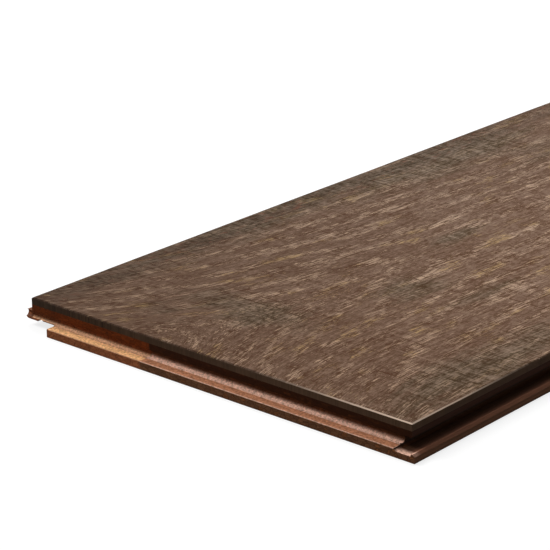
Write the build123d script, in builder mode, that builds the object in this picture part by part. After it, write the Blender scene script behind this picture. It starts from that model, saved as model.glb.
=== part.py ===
"""Engineered floorboard: a sawn wear layer bonded on a strand-wood core with click-lock edges.

The origin is the centre of the laid face, on the underside. X runs across the board towards the
groove side, Y along the board away from the groove end, and Z up to the walking face.
"""

import os

from build123d import *

# Board, in millimetres
board_width = 190.0
board_length = 1220.0
core_thickness = 9.0
wear_thickness = 3.0
edge_bevel = 0.5

# Locking lip, shared by the groove side and the groove end
lip_reach = 5.4
lip_slack = 0.4
joint_play = 0.1

# Long sides: tongue, groove and locking ridge
upper_lip = 2.5
tongue_reach = 3.6
tongue_slack = 0.5
tongue_radius = 1.3
heel_radius = 1.8
radius_share = 0.45  # the most of the groove's height that one corner radius takes
channel_floor = 2.4
ridge_height = 0.95
ridge_width = 1.6
ridge_lead_in = 1.0
ridge_drop = 0.85
lock_lean = 0.35
lock_radius = 0.2

# Ends: a cove and its nose, with a snap crest where the cove runs out onto the flat land
end_upper_lip = 2.7
cove_depth = 1.5
crest_reach = 0.9
crest_height = 0.45
crest_width = 0.2
crest_lead_in = 0.5
land_height = 3.4
land_arris = 0.25

# Notch that clears the next row's lip at the corner of the tongue side and the groove end
notch_width = 13.6
notch_depth = 6.0
notch_height = 3.1


def long_edge_corners(face, play=0.0, nose_slack=0.0, end_slack=0.0):
    """Corners of a long edge from the top face to the underside, each with its corner radius.

    face is where the laid faces meet. With no play this is the groove edge. With play it is the
    tongue edge that fits that groove, held off it all round.
    """
    roof = core_thickness - upper_lip - play
    floor = channel_floor + play
    ridge = channel_floor + ridge_height + play
    nose = -(tongue_reach + tongue_slack - nose_slack)
    hook = lip_reach - ridge_width - play
    largest_radius = radius_share * (roof - floor)
    corners = [
        (0, core_thickness, 0),
        (0, roof, 0),
        (nose, roof, min(tongue_radius, largest_radius)),
        (nose, floor, min(heel_radius, largest_radius)),
        (hook - lock_lean, floor, lock_radius),
        (hook, ridge, lock_radius),
        (lip_reach - ridge_lead_in, ridge, 0),
        (lip_reach, ridge - ridge_drop, 0),
        (lip_reach, 0, 0),
    ]
    if end_slack:
        corners[-3:] = [(lip_reach + end_slack, ridge, lock_radius), (lip_reach + end_slack, 0, 0)]
    return [(face + out, height, radius) for out, height, radius in corners]


def end_edge_lines(face, play=0.0, end_slack=0.0):
    """Draw an end edge from the top face to the underside, and return its two end points.

    With no play this is the groove end, and with play it is the nose end that snaps over its crest.
    """
    roof = core_thickness - end_upper_lip - play
    land = land_height + play
    crest = land + crest_height
    crest_in = crest_reach - play
    crest_out = crest_reach + crest_width + play
    lip_end = lip_reach + end_slack
    arris = 0 if end_slack else land_arris

    top = (face, core_thickness)
    cove_top = (face, roof)
    cove_middle = (face + cove_depth - play, (roof + crest) / 2)
    cove_end = (face - crest_in, crest)
    Line(top, cove_top)
    ThreePointArc(cove_top, cove_middle, cove_end)
    lip_line = [
        cove_end,
        (face - crest_out, crest),
        (face - crest_out - crest_lead_in, land),
        (face - lip_end + arris, land),
    ]
    if arris:
        lip_line.append((face - lip_end, land - arris))
    bottom = (face - lip_end, 0)
    Polyline(*lip_line, bottom)
    return top, bottom


# Core: the long-side section run along the board, trimmed by the end section run across it
groove_side = long_edge_corners(board_width / 2)
tongue_side = long_edge_corners(
    -board_width / 2, play=joint_play, nose_slack=tongue_slack, end_slack=lip_slack
)
section_corners = tongue_side + groove_side[::-1]
groove_end = -board_length / 2
nose_end = board_length / 2

with BuildPart() as core_board:
    with BuildSketch(Plane.XZ):
        with BuildLine():
            FilletPolyline(
                *[(out, height) for out, height, radius in section_corners],
                radius=[radius for out, height, radius in section_corners],
                close=True,
            )
        make_face()
    extrude(amount=board_length / 2 + lip_reach + cove_depth, both=True)

    with BuildSketch(Plane.YZ):
        with BuildLine():
            groove_top, groove_bottom = end_edge_lines(groove_end)
            nose_top, nose_bottom = end_edge_lines(nose_end, play=joint_play, end_slack=lip_slack)
            Line(groove_top, nose_top)
            Line(groove_bottom, nose_bottom)
        make_face()
    extrude(amount=board_width / 2 + lip_reach + tongue_reach, both=True, mode=Mode.INTERSECT)

    notch_right = -board_width / 2 + notch_width
    notch_left = -board_width / 2 - tongue_reach
    hook_root = -board_width / 2 + lip_reach - ridge_width - joint_play
    with BuildSketch(Plane.XY):
        with Locations((notch_left, groove_end - lip_reach)):
            Rectangle(notch_right - notch_left, lip_reach, align=(Align.MIN, Align.MIN))
    extrude(amount=core_thickness, mode=Mode.SUBTRACT)
    with BuildSketch(Plane.XY):
        with Locations((hook_root, groove_end)):
            Rectangle(notch_right - hook_root, notch_depth, align=(Align.MIN, Align.MIN))
    extrude(amount=notch_height, mode=Mode.SUBTRACT)

# Wear layer: the sawn top, flush with the core's laid faces, with its edges eased all round
with BuildPart(Plane.XY.offset(core_thickness)) as wear_layer:
    Box(board_width, board_length, wear_thickness, align=(Align.CENTER, Align.CENTER, Align.MIN))
    chamfer(wear_layer.faces().sort_by(Axis.Z)[-1].edges(), length=edge_bevel)

core_board.part.label = "core_board"
wear_layer.part.label = "wear_layer"

os.makedirs("parts", exist_ok=True)
export_step(core_board.part, "parts/core_board.step")
export_step(wear_layer.part, "parts/wear_layer.step")
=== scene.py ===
"""Dresses the floorboard: a sawn, limed wear layer on a strand core with milled edges."""

import math
from types import SimpleNamespace

import bpy
import numpy as np
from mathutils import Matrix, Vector


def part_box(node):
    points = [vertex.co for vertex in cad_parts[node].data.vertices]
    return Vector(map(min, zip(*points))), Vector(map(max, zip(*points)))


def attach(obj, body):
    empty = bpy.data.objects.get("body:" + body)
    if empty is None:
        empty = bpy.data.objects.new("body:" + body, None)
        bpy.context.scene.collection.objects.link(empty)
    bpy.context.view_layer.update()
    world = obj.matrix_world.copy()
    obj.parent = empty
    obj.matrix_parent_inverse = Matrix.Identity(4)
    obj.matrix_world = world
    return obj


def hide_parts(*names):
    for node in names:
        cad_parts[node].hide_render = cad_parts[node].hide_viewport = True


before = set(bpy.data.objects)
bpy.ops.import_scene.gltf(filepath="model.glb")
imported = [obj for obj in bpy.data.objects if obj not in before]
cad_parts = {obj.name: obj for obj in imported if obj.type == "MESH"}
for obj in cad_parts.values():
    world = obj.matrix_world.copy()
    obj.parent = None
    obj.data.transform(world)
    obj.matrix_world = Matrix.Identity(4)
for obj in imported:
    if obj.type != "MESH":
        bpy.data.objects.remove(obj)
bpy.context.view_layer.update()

MM = 0.001
SEED = 41

# Camera, fitted to the core's edges in the photograph. The aim is measured from the core's upper
# corner at the tongue side and the groove end
CAMERA_AZIMUTH = 40.42
CAMERA_ELEVATION = 20.43
CAMERA_DISTANCE = 956.2 * MM
CAMERA_LENS = 152.0
AIM_ACROSS = 52.2 * MM
AIM_ALONG = 88.1 * MM

# Light: an even surround, and two soft lamps that face the board's middle, from the front left
# and from above
SURROUND = 0.12
KEY_PLACE = (-1.0, -0.95, 1.15)
KEY_SIZE = 0.7
KEY_WATTS = 17.5
TOP_PLACE = (-0.3, 0.05, 0.95)
TOP_SIZE = 0.8
TOP_WATTS = 7.7

# Floor: its side in metres, its colour, and the glow that makes it white where it is seen
FLOOR_SIDE = 30.0
FLOOR_DROP = 0.2 * MM
FLOOR_GREY = 0.3
FLOOR_GLOW = 0.78

# Mesh of the sawn top: lengths in millimetres, and the angle in degrees. The border is a little
# wider than the bevel, so that it takes in the outermost vertices of the face
COLUMNS = 290
ROW_STEP = 5.3
KERF_HALF_WIDTH = 0.65
KERF_CLEARANCE = 3 * KERF_HALF_WIDTH
BEVEL = 0.5
BORDER = 1.01 * BEVEL
LEAST_BEVEL = 0.36
BEVEL_WAVE = 28.0
SHARP_ANGLE = 25.0

# Relief of the sawn top, in millimetres below the laid face
GRAIN_DEPTH = 0.05
GRAIN_CELL = (1.5, 30.0)
EARLYWOOD_DEPTH = 0.06
HOLLOW_DEPTH = 0.04
HOLLOW_CELL = (38.0, 170.0)
KERF_DEPTH = 0.12
KERF_FADE = 4.0

# Growth rings: arches that are blunt at the groove end and run out along the board, in millimetres
ARCH_CENTRE = -25.0
ARCH_SHIFT = 30.0
ARCH_SHIFT_LENGTH = 150.0
ARCH_TIP = 9.0
ARCH_HEIGHT = 62.0
ARCH_LENGTH = 68.0
FIBRE_SPREAD = 17.0
FIBRE_LENGTH = 38.0
FIBRE_WAVER = 1.6
FIBRE_WAVER_CELL = (26.0, 70.0)
RING_SPACING = 11.0
RING_WOBBLE = 5.0
RING_WOBBLE_CELL = (13.0, 34.0)

# Greyer patches at the groove end, in millimetres: x, y from that end, half width, half length
# and, from 0 to 1, strength
SEEN_PATCHES = [
    (-90.0, 140.0, 16.0, 160.0, 0.8),
    (-82.0, 250.0, 22.0, 90.0, 0.9),
    (84.0, 55.0, 17.0, 62.0, 0.9),
    (-18.0, 45.0, 32.0, 16.0, 0.9),
    (12.0, 105.0, 12.0, 22.0, 0.8),
    (-48.0, 24.0, 14.0, 10.0, 0.5),
    (40.0, 120.0, 8.0, 26.0, 0.6),
    (-10.0, 172.0, 7.0, 24.0, 0.7),
    (52.0, 210.0, 9.0, 40.0, 0.6),
]

# Single saw marks across the grain there: x from and to, y from that end, and tone, from dark -1
# to pale 1
SEEN_KERFS = [
    (66.0, 95.0, 49.0, -1.0),
    (48.0, 68.0, 50.5, 0.8),
    (44.0, 73.0, 122.0, -0.8),
    (-46.0, -8.0, 84.0, 0.6),
    (-52.0, 14.0, 60.0, -0.6),
    (-44.0, 8.0, 54.0, -0.5),
    (-80.0, -42.0, 136.0, -0.6),
    (52.0, 92.0, 30.0, -0.5),
    (-95.0, -70.0, 196.0, -0.6),
    (-90.0, -60.0, 232.0, 0.5),
]

# More patches and saw marks past the length that the photograph shows, and the ranges that they
# are drawn from
SEEN_LENGTH = 300.0
MORE_PATCHES = 46
MORE_PATCH_HALF_WIDTH = (7.0, 26.0)
MORE_PATCH_HALF_LENGTH = (20.0, 80.0)
MORE_PATCH_STRENGTH = (0.5, 0.9)
MORE_KERFS = 20
MORE_KERF_LENGTH = (22.0, 60.0)
MORE_KERF_STRAY = 14.0
MORE_KERF_TONES = [-1.0, -0.7, -0.5, 0.6]
KERF_SIDE_CLEAR = 40.0
KERF_END_CLEAR = 30.0

# Tone of the sawn face as layers of noise: cell across and along the board in millimetres, reach
# and detail
GRAIN_LAYERS = [((0.9, 11.0), 0.42, 2.0), ((2.2, 26.0), 0.19, 2.0), ((5.5, 60.0), 0.1, 1.0)]
MOTTLE_LAYERS = [((0.9, 2.2), 0.45, 2.0), ((3.2, 8.0), 0.06, 2.0), ((10.0, 20.0), 0.13, 1.0)]
SAW_LAYERS = [((9.0, 0.9), 0.46, 2.0), ((16.0, 2.0), 0.3, 2.0), ((24.0, 4.0), 0.2, 1.0)]

# Strength of that tone from calm to busy wood, of the saw lines and marks, and of the painted shade
# in the rims of the streaks
CALM = 0.75
BUSY = 1.5
BUSY_ON_PATCH = 0.7
SAW_TONE = 0.3
SAW_TONE_ON_PATCH = 0.75
KERF_TONE = 0.9
RIM_SHADE = -0.5
DARKEST_TONE = -0.5

# Ragged edges of the greyer patches, and how much of the olive colour they take
PATCH_EDGE_CELL = (7.0, 40.0, 7.0)
PATCH_EDGE_REACH = 0.3
PATCH_RANGE = (0.2, 0.85)
PATCH_SHARE = 0.8

# Pores: where they crowd along the rings, the streaks of lime in them, and where the lime is golden
CROWD_CELL = (6.0, 20.0, 6.0)
CROWD_ON_RING = 0.3
CROWD_RANGE = (0.5, 0.92)
CROWD_LIFT = 0.106
SHORT_STREAK = (0.4, 7.0, 0.4)
LONG_STREAK = (0.45, 16.0, 0.45)
RIM_START = 0.55
RIM_FULL = 0.6
LIME_START = 0.65
LIME_FULL = 0.7
LIME_SAWN_OFF = (-0.4, -0.1)
LIME_COVER = 0.9
LIME_COVER_ON_PATCH = -0.45
GOLDEN_CELL = (12.0, 30.0, 12.0)
GOLDEN_RANGE = (0.53, 0.63)

# Painted shade of the sawn face: darker and warmer towards the groove end, and a painted light
# falloff across the board, darker at its left. The red-flecked band at its left is the wood's own
# darker tone
END_SHADE = (0.78, 0.735, 0.69, 1.0)
UNSHADED = (1.0, 1.0, 1.0, 1.0)
END_SHADE_LENGTH = 220.0
SHADE_ACROSS = (-80.0, 60.0)
LEFT_SHADE = 0.86
RIGHT_SHADE = 1.16
LEFT_BAND = (-77.0, -85.0)
LEFT_BAND_SHADE = 0.76
FLECK_CELL = (1.4, 5.0, 1.4)
FLECK_RANGE = (0.58, 0.7)
FLECK_SHARE = 0.6

# Edges of the wear layer, told apart by how far they face up. The bevel has painted shade; near the
# corner of the groove side and the groove end it is rubbed pale and has a painted highlight. Noise
# is given as cell, reach and detail
BEVEL_FACING = (0.3, 0.5)
FACE_FACING = (0.94, 0.86)
EDGE_FACING = (0.35, 0.15)
BEVEL_SHADE = 0.55
WORN_HIGHLIGHT_LENGTH = 80.0
# The sawn edges' tone at the left and its rise to the right are a painted light falloff across the
# board
EDGE_TONE = 0.62
EDGE_TONE_RISE = 0.68
EDGE_STREAK = ((0.6, 26.0, 0.35), 0.3, 3.0)
EDGE_CLOUD = ((7.0, 40.0, 3.0), 0.2)

# Strands and fibres of the core as noise, given as cell in millimetres, reach and detail, and how
# their tone varies
STRAND_CELL = (2.4, 260.0, 1.2)
STRAND_TONE = 0.8
STRAND_TONE_RISE = 0.4
STRAND_LINE = ((0.35, 32.0, 0.35), 0.3, 3.0)
ORANGE_RANGE = (0.75, 0.95)
ORANGE_SHARE = 0.08
ORANGE_SHARE_BELOW = 0.32
SEAM_RANGE = (0.09, 0.02)
SEAM_SHARE = 0.45
MILLED_FIBRE = ((0.4, 7.0, 0.4), 0.3, 3.0)
SPECK = ((0.9, 0.9, 0.9), 0.55)
SPECK_FIBRE = 0.4

# Places on the core in millimetres, between which its colour changes, and how far its faces face
# up or to the end
PALE_STRIP = (-30.4, -31.6)
# Heights in millimetres between which the painted shade over the core's upper part fades out
PAINTED_SHADE_ABOVE = (6.2, 4.0)
SIDE_LIP_START = 0.5
GROOVE_DEPTH = 4.1
# Painted shade inside the groove: where it starts past the wall, below the roof and within the
# mouth, and how dark it makes the core
GROOVE_WALL = (-0.3, 0.1)
GROOVE_ROOF = (7.0, 6.4)
GROOVE_MOUTH = (3.8, 0.5)
GROOVE_SHADE = 0.25
WALL_BLUR = 0.2
TONGUE_BLUR = 0.4
CREST_END = (1.3, 1.6)
COVE = (2.0, 1.5)
TIP = (1.0, 4.5)
END_FACING = (0.5, 0.85)
# How far faces must face up to take the milled colours: on the groove end this grades painted light
# over the cove
LIP_FACING = 0.12
PALE_LIP_FACING = 0.22
LAND_FACING = (0.93, 0.985)
TIP_FACING = (0.6, 0.95)

# Gloss and bump
SPECULAR = 0.05
WEAR_ROUGHNESS = 0.68
LIME_ROUGHNESS = 0.12
GRAIN_ROUGHNESS = 0.1
CORE_ROUGHNESS = 0.62
END_ROUGHNESS = 0.15
FIBRE_ROUGHNESS = 0.2
BUMP_STRENGTH = 0.3
WEAR_BUMP = 0.15 * MM
CORE_BUMP = 0.12 * MM
STREAK_HOLLOW = -0.3
SEAM_HOLLOW = -0.5


def linear_step(step):
    """The sRGB standard's curve, from a stored value of 0 to 1 to linear light."""
    return step / 12.92 if step <= 0.04045 else ((step + 0.055) / 1.055) ** 2.4


def linear(colour):
    """An sRGB colour of 0 to 255 as the linear RGBA that a shader takes."""
    return [linear_step(value / 255) for value in colour] + [1.0]


# Wear layer colours; the tone is what a step of brightness adds
MAUVE = linear((112, 88, 72))
OLIVE = linear((99, 84, 68))
TONE = (0.168, 0.131, 0.105)
LIMED = linear((188, 162, 138))
GOLDEN = linear((176, 148, 106))
RED_FLECK = linear((130, 78, 58))
# Pale arris near the front corner: worn wood with a painted highlight
WORN_ARRIS_HIGHLIGHT = linear((222, 196, 174))
SAWN_EDGE = linear((74, 56, 42))

# Core colours: the strands of the faces, the milled lips, and the paler strip at the left of the
# groove end
# The upper strands are darkened with painted shade, which fades out downwards into the lower strands
SHADED_UPPER_STRAND = linear((50, 24, 10))
LOWER_STRAND = linear((117, 79, 55))
STRAND_ORANGE = linear((154, 90, 46))
RESIN_LINE = linear((40, 21, 12))
LAND = linear((178, 120, 88))
# The crest's colour is pale milled wood with a painted highlight, and the pale end of the cove's
# painted light
CREST_HIGHLIGHT = linear((238, 190, 166))
SIDE_LIP = linear((124, 82, 62))
SHADED_PALE_UPPER_END = linear((104, 48, 18))
PALE_LOWER_END = linear((160, 96, 62))
PALE_LAND = linear((240, 182, 128))
PALE_CREST_HIGHLIGHT = linear((222, 170, 132))


def laid_box():
    """The lowest and highest corners of the wear layer, in millimetres."""
    return [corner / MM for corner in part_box("wear_layer")]


class Graph:
    """A node tree with short calls that add nodes and return their output sockets."""

    # Noise: how far each layer is shifted from the last in cells, and the roughness of all of them.
    # Most noise lies within a quarter of its middle, so the gain takes it out to about 1
    LAYER_SHIFT = 13.7
    NOISE_ROUGHNESS = 0.6
    NOISE_MIDDLE = 0.5
    NOISE_GAIN = 4
    PLAIN_DETAIL = 2.0
    FINE_DETAIL = 3.0

    def __init__(self, tree):
        self.tree = tree
        self.layers = 0
        self.grain = None

    def node(self, kind, inputs=None, **settings):
        """Add a node. Inputs maps a socket's name or number to a value or another node's output."""
        made = self.tree.nodes.new(kind)
        for name, value in settings.items():
            setattr(made, name, value)
        for key, value in (inputs or {}).items():
            self.feed(made.inputs[key], value)
        return made

    def feed(self, socket, value):
        if isinstance(value, bpy.types.NodeSocket):
            self.tree.links.new(value, socket)
        else:
            socket.default_value = value

    def math(self, operation, first, second=0.0):
        return self.node("ShaderNodeMath", {0: first, 1: second}, operation=operation).outputs[0]

    def add(self, *values):
        total = values[0]
        for value in values[1:]:
            total = self.math("ADD", total, value)
        return total

    def times(self, *values):
        product = values[0]
        for value in values[1:]:
            product = self.math("MULTIPLY", product, value)
        return product

    def other(self, share):
        """What is left of 1."""
        return self.math("SUBTRACT", 1.0, share)

    def between(self, share, first, second):
        """The number that is first where the share is 0 and second where it is 1."""
        return self.add(first, self.times(share, second - first))

    def ramp(self, value, start, end):
        """A smooth step from 0 at start to 1 at end."""
        inputs = {"Value": value, "From Min": start, "From Max": end}
        made = self.node("ShaderNodeMapRange", inputs, interpolation_type="SMOOTHSTEP")
        return made.outputs["Result"]

    def place(self):
        """The place on the board in millimetres."""
        metres = self.node("ShaderNodeTexCoord").outputs["Object"]
        inputs = {0: metres, "Scale": 1 / MM}
        return self.node("ShaderNodeVectorMath", inputs, operation="SCALE").outputs[0]

    def split(self, vector):
        return self.node("ShaderNodeSeparateXYZ", {0: vector}).outputs

    def stretched(self, cell, vector=None):
        """The place in cells of these millimetres, shifted so that no two layers line up."""
        self.layers += 1
        scale = [1 / size for size in cell]
        shift = [self.LAYER_SHIFT * self.layers] * 3
        inputs = {"Vector": vector or self.grain or self.place(), "Scale": scale, "Location": shift}
        return self.node("ShaderNodeMapping", inputs).outputs[0]

    def noise(self, cell, detail=PLAIN_DETAIL, vector=None):
        """Noise between 0 and 1, along the grain unless another vector is given."""
        inputs = {
            "Vector": self.stretched(cell, vector),
            "Scale": 1.0,
            "Detail": detail,
            "Roughness": self.NOISE_ROUGHNESS,
        }
        return self.node("ShaderNodeTexNoise", inputs).outputs["Fac"]

    def sway(self, cell, reach, detail=PLAIN_DETAIL, vector=None):
        """Noise about zero that reaches about this far each way."""
        about_zero = self.math("SUBTRACT", self.noise(cell, detail, vector), self.NOISE_MIDDLE)
        return self.times(about_zero, self.NOISE_GAIN * reach)

    def layered(self, layers, vector=None):
        """The sum of several layers of noise about zero."""
        return self.add(*[
            self.sway((across, along, across), reach, detail, vector)
            for (across, along), reach, detail in layers
        ])

    def cells(self, vector, feature):
        inputs = {"Vector": vector, "Scale": 1.0}
        return self.node("ShaderNodeTexVoronoi", inputs, feature=feature).outputs

    def attribute(self, name, output="Fac"):
        return self.node("ShaderNodeAttribute", attribute_name=name).outputs[output]

    def mix(self, share, first, second, blend="MIX"):
        """Two colours mixed. A Mix node takes colours at its inputs 6 and 7 and gives one at 2."""
        inputs = {0: share, 6: first, 7: second}
        return self.node("ShaderNodeMix", inputs, data_type="RGBA", blend_type=blend).outputs[2]

    def brighter(self, colour, factor):
        return self.mix(1.0, colour, factor, "MULTIPLY")

    def toned(self, colour, tone):
        """The colour with this many steps of brightness added."""
        inputs = {0: tone, 1: TONE, 2: colour}
        return self.node("ShaderNodeVectorMath", inputs, operation="MULTIPLY_ADD").outputs[0]

    def facing(self):
        """The x, y and z of the smooth surface normal."""
        return self.split(self.node("ShaderNodeNewGeometry").outputs["Normal"])

    def bump(self, height, distance):
        inputs = {"Height": height, "Strength": BUMP_STRENGTH, "Distance": distance}
        return self.node("ShaderNodeBump", inputs).outputs["Normal"]

    def seen_rays(self):
        """1 for rays that see a surface directly, mirrored or through glass, and 0 for the rest."""
        rays = self.node("ShaderNodeLightPath").outputs
        direct = self.math("MAXIMUM", rays["Is Camera Ray"], rays["Is Glossy Ray"])
        return self.math("MAXIMUM", direct, rays["Is Transmission Ray"])


def new_material(name):
    """A material with its graph and its shader's sockets."""
    material = bpy.data.materials.new(name)
    material.use_nodes = True
    return material, Graph(material.node_tree), material.node_tree.nodes["Principled BSDF"].inputs


def limed_pores(graph, saw):
    """Where pores crowd on the rings, the pale streaks of lime there, and the painted shade of their
    dark rims.
    """
    on_ring = graph.times(graph.attribute("pores"), CROWD_ON_RING)
    crowd = graph.add(on_ring, graph.noise(CROWD_CELL, graph.FINE_DETAIL))
    crowd = graph.ramp(crowd, *CROWD_RANGE)
    short, long = graph.noise(SHORT_STREAK), graph.noise(LONG_STREAK, graph.FINE_DETAIL)
    streaks = graph.add(graph.math("MAXIMUM", short, long), graph.times(crowd, CROWD_LIFT))
    limed = graph.times(graph.ramp(streaks, LIME_START, LIME_FULL), graph.ramp(saw, *LIME_SAWN_OFF))
    outside = graph.ramp(streaks, LIME_START, RIM_FULL)
    rim = graph.times(graph.ramp(streaks, RIM_START, RIM_FULL), outside)
    return crowd, limed, rim


def painted_shade_and_left_band(graph, x, y, left_band, body):
    """The finish with painted shade along and across the board, and its darker red-flecked band at
    the left.
    """
    groove_end = laid_box()[0].y
    from_end = graph.ramp(y, groove_end, groove_end + END_SHADE_LENGTH)
    body = graph.brighter(body, graph.mix(from_end, END_SHADE, UNSHADED))
    across = graph.between(graph.ramp(x, *SHADE_ACROSS), LEFT_SHADE, RIGHT_SHADE)
    return graph.brighter(body, graph.times(graph.between(left_band, 1.0, LEFT_BAND_SHADE), across))


def worn_edges(graph, x, y, body):
    """The finish with painted shade on the bevel, rubbed pale with a painted highlight near one
    corner, and bare sawn edges below it.
    """
    low, high = laid_box()
    facing_up = graph.facing()["Z"]
    bevel = graph.times(graph.ramp(facing_up, *BEVEL_FACING), graph.ramp(facing_up, *FACE_FACING))
    from_corner = graph.add(graph.math("SUBTRACT", y, x), high.x - low.y)
    worn = graph.ramp(from_corner, WORN_HIGHLIGHT_LENGTH, 0.0)
    # Painted shade on the bevel, and near the corner a worn pale arris with a painted highlight
    body = graph.brighter(body, graph.between(bevel, 1.0, BEVEL_SHADE))
    body = graph.mix(graph.times(bevel, worn), body, WORN_ARRIS_HIGHLIGHT)
    # Painted light falloff on the sawn edges: darker towards the left, lighter towards the right
    edge_tone = graph.add(EDGE_TONE, graph.times(graph.ramp(x, low.x, high.x / 2), EDGE_TONE_RISE))
    edge_tone = graph.add(edge_tone, graph.sway(*EDGE_STREAK), graph.sway(*EDGE_CLOUD))
    edge = graph.brighter(SAWN_EDGE, edge_tone)
    return graph.mix(graph.ramp(facing_up, *EDGE_FACING), body, edge)


def wear_finish():
    """Sawn wood with limed pores, greyer patches, saw lines across the grain and worn edges, with
    painted shade and a painted highlight.
    """
    material, graph, shader = new_material("sawn_wear_finish")
    board = graph.place()
    x, y, _ = graph.split(board)
    graph.grain = graph.attribute("grain", "Vector")
    patch = graph.add(graph.attribute("olive"), graph.sway(PATCH_EDGE_CELL, PATCH_EDGE_REACH))
    patch = graph.ramp(patch, *PATCH_RANGE)
    left_band = graph.ramp(x, *LEFT_BAND)

    grain = graph.layered(GRAIN_LAYERS)
    mottle = graph.layered(MOTTLE_LAYERS)
    saw = graph.layered(SAW_LAYERS, board)
    saw_tone = graph.times(saw, graph.add(SAW_TONE, graph.times(patch, SAW_TONE_ON_PATCH)))
    crowd, limed, rim = limed_pores(graph, saw)
    busy = graph.math("MAXIMUM", crowd, graph.times(patch, BUSY_ON_PATCH))
    fine = graph.times(graph.add(grain, mottle), graph.between(busy, CALM, BUSY))
    kerf_tone = graph.times(graph.attribute("kerf"), KERF_TONE)
    # The dark rims round the streaks are painted shade
    fine = graph.add(fine, saw_tone, graph.times(rim, RIM_SHADE), kerf_tone)
    body = graph.mix(graph.times(patch, PATCH_SHARE), MAUVE, OLIVE)
    body = graph.toned(body, graph.math("MAXIMUM", fine, DARKEST_TONE))

    fleck = graph.times(graph.ramp(graph.noise(FLECK_CELL), *FLECK_RANGE), left_band)
    body = graph.mix(graph.times(fleck, FLECK_SHARE), body, RED_FLECK)
    golden = graph.ramp(graph.noise(GOLDEN_CELL), *GOLDEN_RANGE)
    covered = graph.times(limed, graph.add(LIME_COVER, graph.times(patch, LIME_COVER_ON_PATCH)))
    body = graph.mix(covered, body, graph.mix(golden, LIMED, GOLDEN))
    # Painted shade towards the groove end and a painted light falloff across the board, and the
    # wood's darker band at the left
    body = painted_shade_and_left_band(graph, x, y, left_band, body)
    graph.feed(shader["Base Color"], worn_edges(graph, x, y, body))

    rough = graph.add(WEAR_ROUGHNESS, graph.times(limed, LIME_ROUGHNESS))
    rough = graph.add(rough, graph.times(grain, GRAIN_ROUGHNESS))
    graph.feed(shader["Roughness"], rough)
    shader["Specular IOR Level"].default_value = SPECULAR
    height = graph.add(grain, mottle, saw, graph.times(graph.add(limed, rim), STREAK_HOLLOW))
    graph.feed(shader["Normal"], graph.bump(height, WEAR_BUMP))
    return material


def strand_faces(graph, lower, pale_end):
    """The core's strands, dark above with painted shade and paler at the left of the end, and their
    seams.
    """
    strands = graph.stretched(STRAND_CELL)
    chosen = graph.node("ShaderNodeSeparateColor", {0: graph.cells(strands, "F1")["Color"]}).outputs
    # Painted shade over the upper strands, fading out downwards
    side = graph.mix(lower, SHADED_UPPER_STRAND, LOWER_STRAND)
    orange = graph.add(ORANGE_SHARE, graph.times(lower, ORANGE_SHARE_BELOW))
    orange = graph.times(graph.ramp(chosen["Green"], *ORANGE_RANGE), orange)
    side = graph.mix(orange, side, STRAND_ORANGE)
    side = graph.mix(pale_end, side, graph.mix(lower, SHADED_PALE_UPPER_END, PALE_LOWER_END))
    tone = graph.add(STRAND_TONE, graph.times(chosen["Red"], STRAND_TONE_RISE))
    tone = graph.add(tone, graph.sway(*STRAND_LINE))
    seam = graph.ramp(graph.cells(strands, "DISTANCE_TO_EDGE")["Distance"], *SEAM_RANGE)
    return graph.mix(graph.times(seam, SEAM_SHARE), graph.brighter(side, tone), RESIN_LINE), seam


def side_lips(graph, core, body):
    """The core with the tops of its long lips milled."""
    on_lip = graph.ramp(graph.math("ABSOLUTE", core.x), core.high.x, core.high.x + SIDE_LIP_START)
    lip = graph.brighter(SIDE_LIP, graph.add(1.0, core.fibres))
    return graph.mix(graph.times(core.facing_up, on_lip), body, lip)


def shade_in_groove(graph, core, body):
    """The core with painted shade inside its groove, except on the board's ends."""
    wall = core.high.x - GROOVE_DEPTH
    past_wall = graph.ramp(core.x, *[wall + past for past in GROOVE_WALL])
    below_roof = graph.ramp(core.z, *GROOVE_ROOF)
    within_mouth = graph.ramp(core.x, *[core.high.x + out for out in GROOVE_MOUTH])
    inside = graph.times(past_wall, below_roof, within_mouth, graph.other(core.end))
    return graph.brighter(body, graph.between(inside, 1.0, GROOVE_SHADE))


def milled_end(graph, core, body):
    """The core with the cove, crest and land of its groove end milled, and the lip's tip there;
    painted light grows as their faces turn up, with a painted highlight on the crest and the tip.
    """
    specks = graph.add(1.0, graph.times(core.fibres, SPECK_FIBRE), graph.sway(*SPECK))
    crest = graph.brighter(graph.mix(core.pale, CREST_HIGHLIGHT, PALE_CREST_HIGHLIGHT), specks)
    land = graph.brighter(graph.mix(core.pale, LAND, PALE_LAND), specks)
    past_crest = graph.ramp(core.y, *[core.low.y - out for out in CREST_END])
    flat = graph.times(graph.ramp(core.facing["Z"], *LAND_FACING), past_crest)

    at_end = graph.ramp(core.y, *[core.low.y + depth for depth in COVE])
    wall = core.high.x - GROOVE_DEPTH
    off_groove = graph.ramp(core.x, wall + WALL_BLUR, wall - WALL_BLUR)
    off_tongue = graph.ramp(core.x, core.low.x - TONGUE_BLUR, core.low.x)
    # The milled faces turn paler the more they face up: partly their own paler colour, partly
    # painted light
    milled = graph.times(core.facing_up, at_end, off_groove, off_tongue)
    body = graph.mix(milled, body, graph.mix(flat, crest, land))

    # The lip's tip past the groove takes the crest's colour with its painted highlight where it
    # faces up
    on_tip = graph.ramp(core.y, *[core.low.y - out for out in TIP])
    on_tip = graph.times(on_tip, graph.other(off_groove), graph.ramp(core.facing["Z"], *TIP_FACING))
    return graph.mix(on_tip, body, crest)


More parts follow.
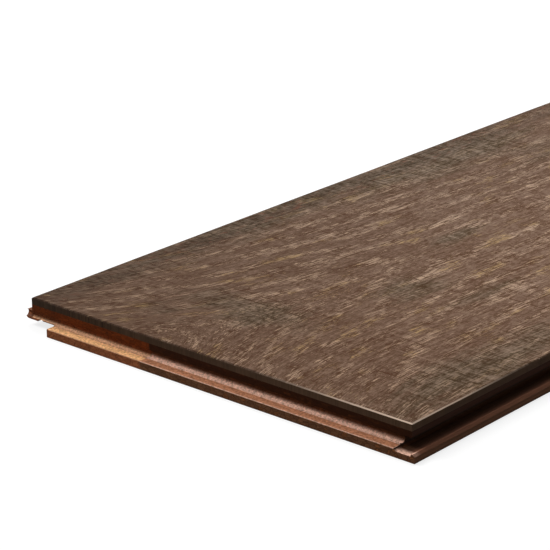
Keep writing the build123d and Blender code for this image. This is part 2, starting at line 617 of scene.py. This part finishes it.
def core_finish():
    """Pressed strands with painted shade above, paler where the cove, crest and lips are milled, and
    painted light and highlights where the milled faces turn up.
    """
    material, graph, shader = new_material("strand_core_finish")
    core = SimpleNamespace()
    core.low, core.high = laid_box()
    core.x, core.y, core.z = graph.split(graph.place())
    core.facing = graph.facing()
    core.end = graph.ramp(graph.math("ABSOLUTE", core.facing["Y"]), *END_FACING)
    core.pale = graph.ramp(core.x, *PALE_STRIP)
    body, seam = strand_faces(graph, graph.ramp(core.z, *PAINTED_SHADE_ABOVE), graph.times(core.end, core.pale))

    core.fibres = graph.sway(*MILLED_FIBRE)
    least_facing = graph.add(LIP_FACING, graph.times(core.pale, PALE_LIP_FACING))
    core.facing_up = graph.ramp(core.facing["Z"], least_facing, 1.0)
    body = side_lips(graph, core, body)
    # Painted shade inside the groove
    body = shade_in_groove(graph, core, body)
    graph.feed(shader["Base Color"], milled_end(graph, core, body))

    rough = graph.add(CORE_ROUGHNESS, graph.times(core.end, END_ROUGHNESS))
    rough = graph.add(rough, graph.times(core.fibres, FIBRE_ROUGHNESS))
    graph.feed(shader["Roughness"], rough)
    shader["Specular IOR Level"].default_value = SPECULAR
    height = graph.add(core.fibres, graph.times(seam, SEAM_HOLLOW))
    graph.feed(shader["Normal"], graph.bump(height, CORE_BUMP))
    return material


def smooth(share):
    return share * share * (3 - 2 * share)


def as_share(wave):
    """A wave between -1 and 1 as a share between 0 and 1."""
    return 0.5 + 0.5 * wave


def cell_noise(rng, x, y, cell):
    """Smooth noise between -1 and 1, with a new value at each corner of cells of this size."""
    u, v = x / cell[0], y / cell[1]
    column, row = np.floor(u).astype(int), np.floor(v).astype(int)
    lattice = rng.uniform(-1, 1, (np.ptp(column) + 2, np.ptp(row) + 2))
    share_u, share_v = smooth(u - column), smooth(v - row)
    column, row = column - column.min(), row - row.min()
    near = lattice[column, row] * (1 - share_u) + lattice[column + 1, row] * share_u
    far = lattice[column, row + 1] * (1 - share_u) + lattice[column + 1, row + 1] * share_u
    return near * (1 - share_v) + far * share_v


def all_kerfs(rng, half_width, length):
    """The seen saw marks, and more of their kind on the rest of the board."""
    kerfs = list(SEEN_KERFS)
    for y in np.linspace(SEEN_LENGTH, length - KERF_END_CLEAR, MORE_KERFS):
        start = rng.uniform(-half_width, half_width - KERF_SIDE_CLEAR)
        tone = rng.choice(MORE_KERF_TONES)
        end = start + rng.uniform(*MORE_KERF_LENGTH)
        kerfs.append((start, end, y + rng.uniform(-MORE_KERF_STRAY, MORE_KERF_STRAY), tone))
    return kerfs


def all_patches(rng, half_width, length):
    """The seen patches, and more of their kind on the rest of the board."""
    ranges = [
        (-half_width, half_width),
        (SEEN_LENGTH, length),
        MORE_PATCH_HALF_WIDTH,
        MORE_PATCH_HALF_LENGTH,
        MORE_PATCH_STRENGTH,
    ]
    more = [tuple(rng.uniform(*limits) for limits in ranges) for _ in range(MORE_PATCHES)]
    return SEEN_PATCHES + more


def row_places(length, kerfs):
    """Rows along the board from the groove end: evenly spaced, with three across each saw mark."""
    marks = np.array([kerf[2] for kerf in kerfs])
    even = np.linspace(BEVEL, length - BEVEL, round(length / ROW_STEP))
    clear = np.abs(even[:, None] - marks[None, :]).min(1) > KERF_CLEARANCE
    clear[[0, -1]] = True
    across_marks = [marks - KERF_HALF_WIDTH, marks, marks + KERF_HALF_WIDTH]
    return np.sort(np.concatenate([even[clear], *across_marks]))


def patch_field(x, y, patches):
    """How grey the wood is at each vertex, from 0 to 1."""
    field = np.zeros_like(x)
    for patch_x, patch_y, half_width, half_length, strength in patches:
        away = ((x - patch_x) / half_width) ** 2 + ((y - patch_y) / half_length) ** 2
        field = np.maximum(field, strength * np.exp(-away))
    return field


def kerf_field(x, y, kerfs):
    """The tone of the saw marks at each vertex, from dark -1 to pale 1, and 0 off the marks."""
    field = np.zeros_like(x)
    for start, end, mark, tone in kerfs:
        ends = np.minimum(x - start, end - x) / KERF_FADE
        field += tone * smooth(np.clip(ends, 0, 1)) * (np.abs(y - mark) < KERF_HALF_WIDTH / 2)
    return field


def grain_field(rng, x, y):
    """The straightened grain at each vertex, and how much of a ring lies there.

    The grain is a place across the fibres, along them and off the arch's axis. Rings and fibres run
    along the board far from the groove end. Towards it they spread from the arch's axis, the rings
    more than the fibres, so that the rings close in blunt arches there.
    """
    off_axis = x - ARCH_CENTRE - ARCH_SHIFT * (1 - np.exp(-y / ARCH_SHIFT_LENGTH))
    out = np.hypot(off_axis, ARCH_TIP)
    waver = FIBRE_WAVER * cell_noise(rng, x, y, FIBRE_WAVER_CELL)
    wobble = RING_WOBBLE * cell_noise(rng, x, y, RING_WOBBLE_CELL)
    across = out - FIBRE_SPREAD * np.exp(-y / FIBRE_LENGTH) + waver
    grain = np.stack([across, y, ARCH_TIP * np.tanh(off_axis / ARCH_TIP)], -1)
    rings = (out - ARCH_HEIGHT * np.exp(-y / ARCH_LENGTH) + wobble) / RING_SPACING
    return grain, smooth(as_share(np.cos(2 * np.pi * rings)))


def relief(rng, x, y, pores, kerf):
    """How far the sawn face lies below the laid face, in millimetres."""
    grain = as_share(cell_noise(rng, x, y, GRAIN_CELL))
    hollow = as_share(cell_noise(rng, x, y, HOLLOW_CELL))
    wood = GRAIN_DEPTH * grain + EARLYWOOD_DEPTH * pores * grain + HOLLOW_DEPTH * hollow
    return wood + KERF_DEPTH * np.abs(kerf)


def eased_rings(rng, arris, low, high):
    """Two rings below the face's border: the foot of its uneven bevel, and the underside's edge."""
    for axis in (0, 1):
        half = (high[axis] - low[axis]) / 2
        outer = np.abs(arris[:, axis]) > half - BORDER
        arris[outer, axis] += np.sign(arris[outer, axis]) * BEVEL
    wave = cell_noise(rng, arris[:, 0], arris[:, 1], (BEVEL_WAVE, BEVEL_WAVE))
    arris[:, 2] = high.z - BEVEL + (BEVEL - LEAST_BEVEL) * as_share(wave)
    foot = arris.copy()
    foot[:, 2] = low.z
    return arris, foot


def ring_faces(upper, lower):
    """Quads between two closed rings of vertices, facing out."""
    return np.stack([upper, lower, np.roll(lower, -1), np.roll(upper, -1)], 1).tolist()


def top_faces(index, border):
    """Quads of the face, its bevel and its edges, and a fan to one vertex on the underside."""
    corners = [index[:-1, :-1], index[1:, :-1], index[1:, 1:], index[:-1, 1:]]
    quads = np.stack(corners, -1).reshape(-1, 4).tolist()
    arris_ring = index.size + np.arange(len(border))
    foot_ring = arris_ring + len(border)
    centre = np.full(len(border), foot_ring[-1] + 1)
    underside = np.stack([np.roll(foot_ring, -1), foot_ring, centre], 1).tolist()
    sides = ring_faces(border, arris_ring) + ring_faces(arris_ring, foot_ring)
    return quads + sides + underside


def mesh_object(name, points, faces):
    mesh = bpy.data.meshes.new(name)
    mesh.from_pydata(points, [], faces)
    mesh.shade_smooth()
    mesh.set_sharp_from_angle(angle=math.radians(SHARP_ANGLE))
    made = bpy.data.objects.new(name, mesh)
    bpy.context.scene.collection.objects.link(made)
    return made


def store(mesh, name, values, border, middle, kind="FLOAT", key="value"):
    """Keep a field of the face on the mesh.

    Both rings below the border repeat its values, and the underside's middle has a value of its own.
    """
    values = np.concatenate([values, values[border], values[border], middle])
    mesh.attributes.new(name, kind, "POINT").data.foreach_set(key, values.ravel())


def sawn_top():
    """The wear layer with its sawn relief, uneven bevel and the fields that its finish reads."""
    rng = np.random.default_rng(SEED)
    low, high = laid_box()
    half_width, length = high.x, high.y - low.y
    kerfs = all_kerfs(rng, half_width, length)
    patches = all_patches(rng, half_width, length)
    columns = np.linspace(low.x + BEVEL, high.x - BEVEL, COLUMNS)
    x, y = np.meshgrid(columns, row_places(length, kerfs), indexing="ij")
    grain, pores = grain_field(rng, x, y)
    kerf = kerf_field(x, y, kerfs)
    depth = relief(rng, x, y, pores, kerf)

    face = np.stack([x, y + low.y, high.z - depth], -1).reshape(-1, 3)
    index = np.arange(x.size).reshape(x.shape)
    border = np.concatenate([index[:-1, 0], index[-1, :-1], index[:0:-1, -1], index[0, :0:-1]])
    arris, foot = eased_rings(rng, face[border], low, high)
    points = np.concatenate([face, arris, foot, [[0.0, 0.0, low.z]]])
    top = mesh_object("sawn_top", points * MM, top_faces(index, border))
    fields = {"pores": pores, "olive": patch_field(x, y, patches), "kerf": kerf}
    for name, field in fields.items():
        store(top.data, name, field.ravel(), border, [0.0])
    grain = grain.reshape(-1, 3)
    store(top.data, "grain", grain, border, grain[:1], "FLOAT_VECTOR", "vector")
    top.data.materials.append(wear_finish())
    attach(top, "root")
    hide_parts("wear_layer")


def dress_core():
    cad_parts["core_board"].material_slots[0].material = core_finish()


def floor():
    """A pale floor just under the board, which keeps its shadow and looks white to the camera."""
    material, graph, shader = new_material("pale_floor")
    shader["Base Color"].default_value = (FLOOR_GREY, FLOOR_GREY, FLOOR_GREY, 1)
    shader["Roughness"].default_value = 1.0
    shader["Specular IOR Level"].default_value = 0.0
    shader["Emission Color"].default_value = (1, 1, 1, 1)
    graph.feed(shader["Emission Strength"], graph.times(graph.seen_rays(), FLOOR_GLOW))
    half = FLOOR_SIDE / 2
    corners = [(half * x, half * y, -FLOOR_DROP) for x, y in [(-1, -1), (1, -1), (1, 1), (-1, 1)]]
    made = mesh_object("floor", corners, [(0, 1, 2, 3)])
    made.data.materials.append(material)


def surround():
    """White where it is seen, and an even soft light elsewhere."""
    world = bpy.data.worlds.new("surround")
    world.use_nodes = True
    graph = Graph(world.node_tree)
    background = world.node_tree.nodes["Background"].inputs
    background["Color"].default_value = (1, 1, 1, 1)
    graph.feed(background["Strength"], graph.between(graph.seen_rays(), SURROUND, 1.0))
    bpy.context.scene.world = world


def soft_lamp(name, place, size, watts):
    """A square lamp that faces the middle of the board."""
    data = bpy.data.lights.new(name, "AREA")
    data.size = size
    data.energy = watts
    lamp = bpy.data.objects.new(name, data)
    lamp.location = place
    lamp.rotation_euler = (-Vector(place)).to_track_quat("-Z", "Y").to_euler()
    bpy.context.scene.collection.objects.link(lamp)


def photo_camera():
    """A level camera at the photograph's angle."""
    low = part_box("wear_layer")[0]
    aim = Vector((low.x + AIM_ACROSS, low.y + AIM_ALONG, low.z))
    azimuth, elevation = math.radians(CAMERA_AZIMUTH), math.radians(CAMERA_ELEVATION)
    back = Vector((
        math.sin(azimuth) * math.cos(elevation),
        -math.cos(azimuth) * math.cos(elevation),
        math.sin(elevation),
    ))
    data = bpy.data.cameras.new("photo_camera")
    data.lens = CAMERA_LENS
    camera = bpy.data.objects.new("photo_camera", data)
    camera.location = aim + back * CAMERA_DISTANCE
    camera.rotation_euler = (-back).to_track_quat("-Z", "Y").to_euler()
    bpy.context.scene.collection.objects.link(camera)
    bpy.context.scene.camera = camera


sawn_top()
dress_core()
floor()
surround()
soft_lamp("key_lamp", KEY_PLACE, KEY_SIZE, KEY_WATTS)
soft_lamp("top_lamp", TOP_PLACE, TOP_SIZE, TOP_WATTS)
photo_camera()
bpy.context.scene.view_settings.view_transform = "Standard"
